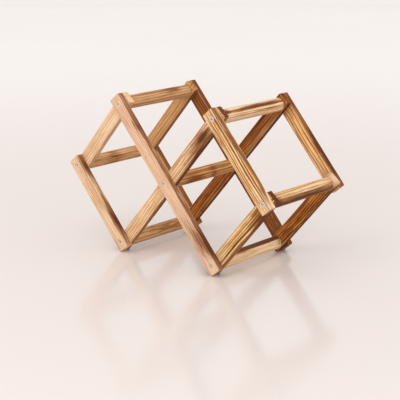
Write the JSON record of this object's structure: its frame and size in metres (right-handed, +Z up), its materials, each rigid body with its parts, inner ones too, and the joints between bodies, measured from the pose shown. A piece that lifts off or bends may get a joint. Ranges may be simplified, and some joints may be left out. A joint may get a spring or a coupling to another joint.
{
  "type": "wine rack",
  "caption": "Folding wooden wine rack: crossed slats in front and back scissor frames, joined by round dowels, with diamond cells that hold bottles lying down.",
  "frame": {"origin": "on the floor under the middle of the rack", "axes": "+X along the row of bottles to the right, +Y along the bottles from the front frame to the back frame, +Z up"},
  "size_m": [0.2934, 0.13, 0.1818],
  "materials": {
    "slat_wood": "carbonised and brushed pine, dark growth lines",
    "dowel_wood": "carbonised pine dowel, sanded",
    "screw_steel": "zinc plated"
  },
  "bodies": {
    "right_foot_rail": {"dowel_lower_right": "dowel_wood", "screw_front_lower_right": "screw_steel", "screw_back_lower_right": "screw_steel"},
    "long_falling_pair": {"slat_front_long_falling": "slat_wood", "slat_back_long_falling": "slat_wood", "dowel_upper_left": "dowel_wood", "screw_front_upper_left": "screw_steel", "screw_back_upper_left": "screw_steel", "dowel_centre": "dowel_wood", "screw_front_centre": "screw_steel", "screw_back_centre": "screw_steel"},
    "long_rising_pair": {"slat_front_long_rising": "slat_wood", "slat_back_long_rising": "slat_wood", "dowel_lower_left": "dowel_wood", "screw_front_lower_left": "screw_steel", "screw_back_lower_left": "screw_steel", "dowel_upper_right": "dowel_wood", "screw_front_upper_right": "screw_steel", "screw_back_upper_right": "screw_steel"},
    "right_lower_pair": {"slat_front_right_lower": "slat_wood", "slat_back_right_lower": "slat_wood", "dowel_right": "dowel_wood", "screw_front_right": "screw_steel", "screw_back_right": "screw_steel"},
    "right_upper_pair": {"slat_front_right_upper": "slat_wood", "slat_back_right_upper": "slat_wood"},
    "left_upper_pair": {"slat_front_left_upper": "slat_wood", "slat_back_left_upper": "slat_wood", "dowel_left": "dowel_wood", "screw_front_left": "screw_steel", "screw_back_left": "screw_steel"},
    "left_lower_pair": {"slat_front_left_lower": "slat_wood", "slat_back_left_lower": "slat_wood"}
  },
  "joints": [
    {"name": "fold", "type": "hinge", "parent": "right_foot_rail", "child": "long_falling_pair", "pos_m": [0.06754, 0, 0.0118], "axis": [0, 1, 0], "range_deg": [-44.5, 35.5]},
    {"name": "fold_right_lower", "type": "hinge", "parent": "right_foot_rail", "child": "right_lower_pair", "pos_m": [0.06754, 0, 0.0118], "axis": [0, 1, 0], "range_deg": [-35.5, 44.5]},
    {"name": "fold_centre", "type": "hinge", "parent": "long_falling_pair", "child": "long_rising_pair", "pos_m": [0, 0, 0.09089], "axis": [0, 1, 0], "range_deg": [-71, 89]},
    {"name": "fold_left_upper", "type": "hinge", "parent": "long_falling_pair", "child": "left_upper_pair", "pos_m": [-0.06754, 0, 0.16997], "axis": [0, 1, 0], "range_deg": [-71, 89]},
    {"name": "fold_left_lower", "type": "hinge", "parent": "long_rising_pair", "child": "left_lower_pair", "pos_m": [-0.06754, 0, 0.0118], "axis": [0, 1, 0], "range_deg": [-89, 71]},
    {"name": "fold_right_upper", "type": "hinge", "parent": "long_rising_pair", "child": "right_upper_pair", "pos_m": [0.06754, 0, 0.16997], "axis": [0, 1, 0], "range_deg": [-89, 71]}
  ],
  "couplings": [
    {"joint": "fold_right_lower", "follows": "fold", "ratio": -1},
    {"joint": "fold_centre", "follows": "fold", "ratio": -2},
    {"joint": "fold_left_upper", "follows": "fold", "ratio": -2},
    {"joint": "fold_left_lower", "follows": "fold", "ratio": 2},
    {"joint": "fold_right_upper", "follows": "fold", "ratio": 2}
  ]
}
